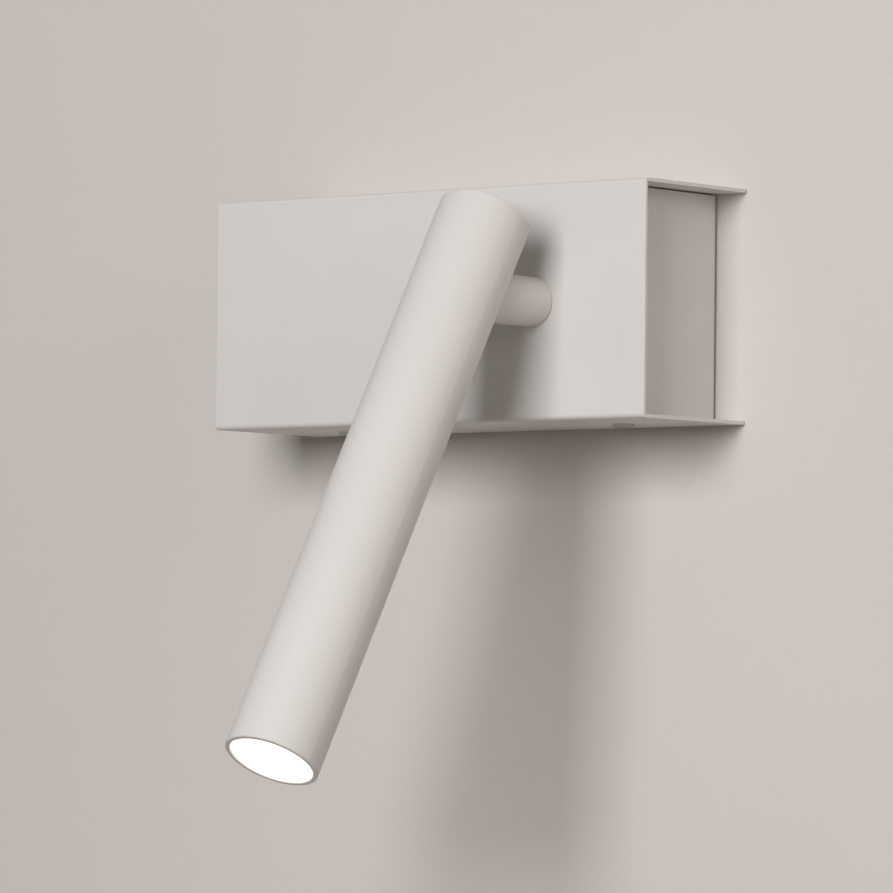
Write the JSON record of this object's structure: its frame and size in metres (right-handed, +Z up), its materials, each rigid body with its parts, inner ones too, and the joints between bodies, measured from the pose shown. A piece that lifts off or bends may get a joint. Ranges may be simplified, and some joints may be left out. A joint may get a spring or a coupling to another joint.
{
  "type": "adjustable wall spotlight",
  "caption": "Box-shaped wall light with a slim tubular spot head that swivels on a round stub and tilts from straight down to straight out.",
  "frame": {"origin": "centre of the box's back, on the wall", "axes": "+X along the wall to the right as seen from the room, +Y into the wall, +Z up"},
  "size_m": [0.18, 0.1908, 0.1926],
  "materials": {
    "white_coat": "satin",
    "plated_steel": "satin",
    "black_rubber": "matte",
    "driver_plastic": "matte",
    "block_plastic": "matte",
    "tinned_lug": "satin",
    "supply_insulation": "satin",
    "earth_insulation": "satin",
    "lead_sheath": "satin",
    "glide_nylon": "matte",
    "bare_aluminium": "satin",
    "thermal_silicone": "matte",
    "board_white": "satin",
    "phosphor": "satin",
    "clear_optic": "gloss",
    "holder_plastic": "matte",
    "opal_diffuser": "satin"
  },
  "bodies": {
    "base": {"front_cover": "white_coat", "mounting_chassis": "white_coat", "cover_screws": "plated_steel", "press_nuts": "plated_steel", "cable_grommet": "black_rubber", "driver_case": "driver_plastic", "driver_screws": "plated_steel", "terminal_block": "block_plastic", "terminal_screws": "plated_steel", "earth_screw": "plated_steel", "earth_lug": "tinned_lug", "supply_leads": "supply_insulation", "earth_lead": "earth_insulation", "driver_output_lead": "lead_sheath", "swivel_bush": "glide_nylon", "glide_washer": "glide_nylon", "stop_stud": "plated_steel"},
    "arm": {"arm_stub": "white_coat", "swivel_nipple": "plated_steel", "stop_washer": "plated_steel", "disc_spring": "plated_steel", "swivel_nuts": "plated_steel", "arm_lead": "lead_sheath", "pivot_screws": "plated_steel"},
    "head": {"head_tube": "white_coat", "top_cap": "white_coat", "tilt_fork": "bare_aluminium", "fork_screws": "plated_steel", "friction_washers": "glide_nylon", "heat_sink": "bare_aluminium", "sink_screw": "plated_steel", "thermal_pad": "thermal_silicone", "led_board": "board_white", "board_screws": "plated_steel", "led_emitter": "phosphor", "optic_lens": "clear_optic", "optic_holder": "holder_plastic", "seal_ring": "black_rubber", "diffuser": "opal_diffuser", "head_lead": "lead_sheath"}
  },
  "joints": [
    {"name": "swivel", "type": "hinge", "parent": "base", "child": "arm", "pos_m": [0.045, -0.053, 0], "axis": [0, -1, 0], "range_deg": [-165, 165]},
    {"name": "tilt", "type": "hinge", "parent": "arm", "child": "head", "pos_m": [0.045, -0.093, 0], "axis": [-1, 0, 0], "range_deg": [-30, 60]}
  ]
}
